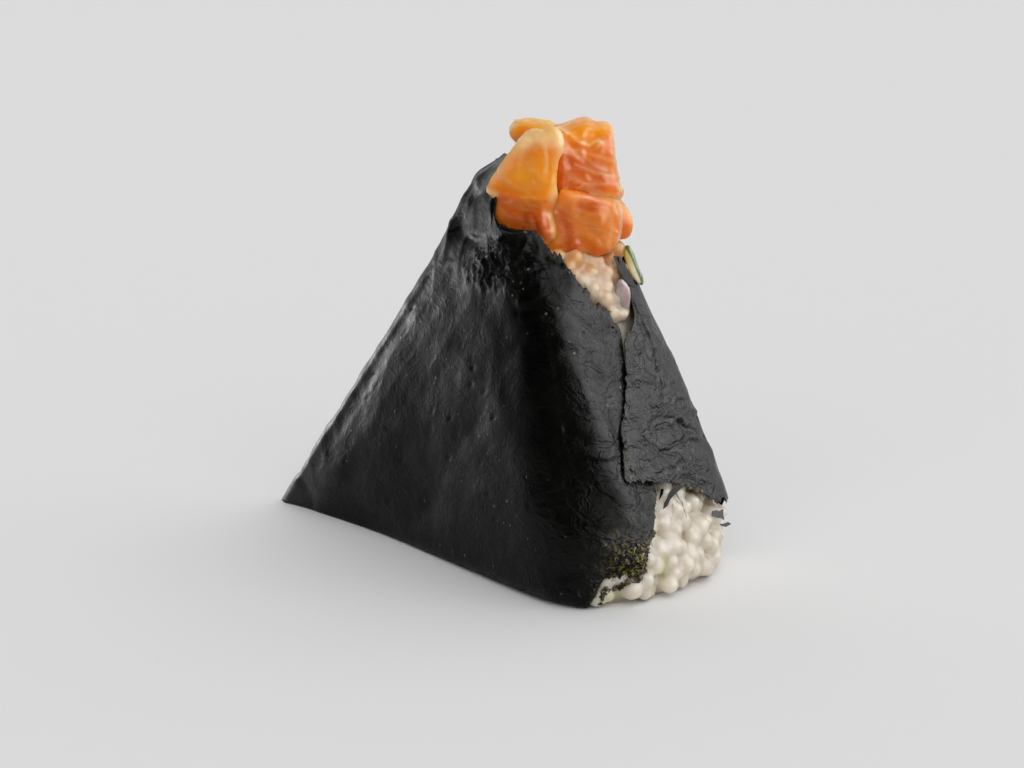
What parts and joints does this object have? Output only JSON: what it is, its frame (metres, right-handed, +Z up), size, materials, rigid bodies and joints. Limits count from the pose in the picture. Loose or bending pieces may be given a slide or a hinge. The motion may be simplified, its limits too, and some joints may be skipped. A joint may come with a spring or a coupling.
{
  "type": "onigiri rice ball",
  "caption": "Wedge-shaped rice ball in a torn sheet of nori, bare rice at one lower corner, raw salmon standing in the open top, resting on its flat narrow side.",
  "frame": {"origin": "on the flat underside of the nori, below the open top", "axes": "+X along the base from the thin corner to the thick torn corner, +Y away from the broad front face, +Z up"},
  "size_m": [0.0988, 0.0448, 0.0806],
  "materials": {
    "nori": "dry seaweed, softly glossy, crinkled",
    "rice": "moist cooked rice",
    "salmon": "wet raw fish with pale veins",
    "cucumber": "moist cut vegetable with dark skin",
    "onion": "thin mauve-grey slice"
  },
  "bodies": {
    "root": {"nori_wrap": "nori", "rice": "rice", "salmon_front": "salmon", "salmon_main": "salmon", "salmon_lower": "salmon", "salmon_back_left": "salmon", "salmon_right": "salmon", "cucumber_strip": "cucumber", "onion_slice": "onion"}
  },
  "joints": []
}
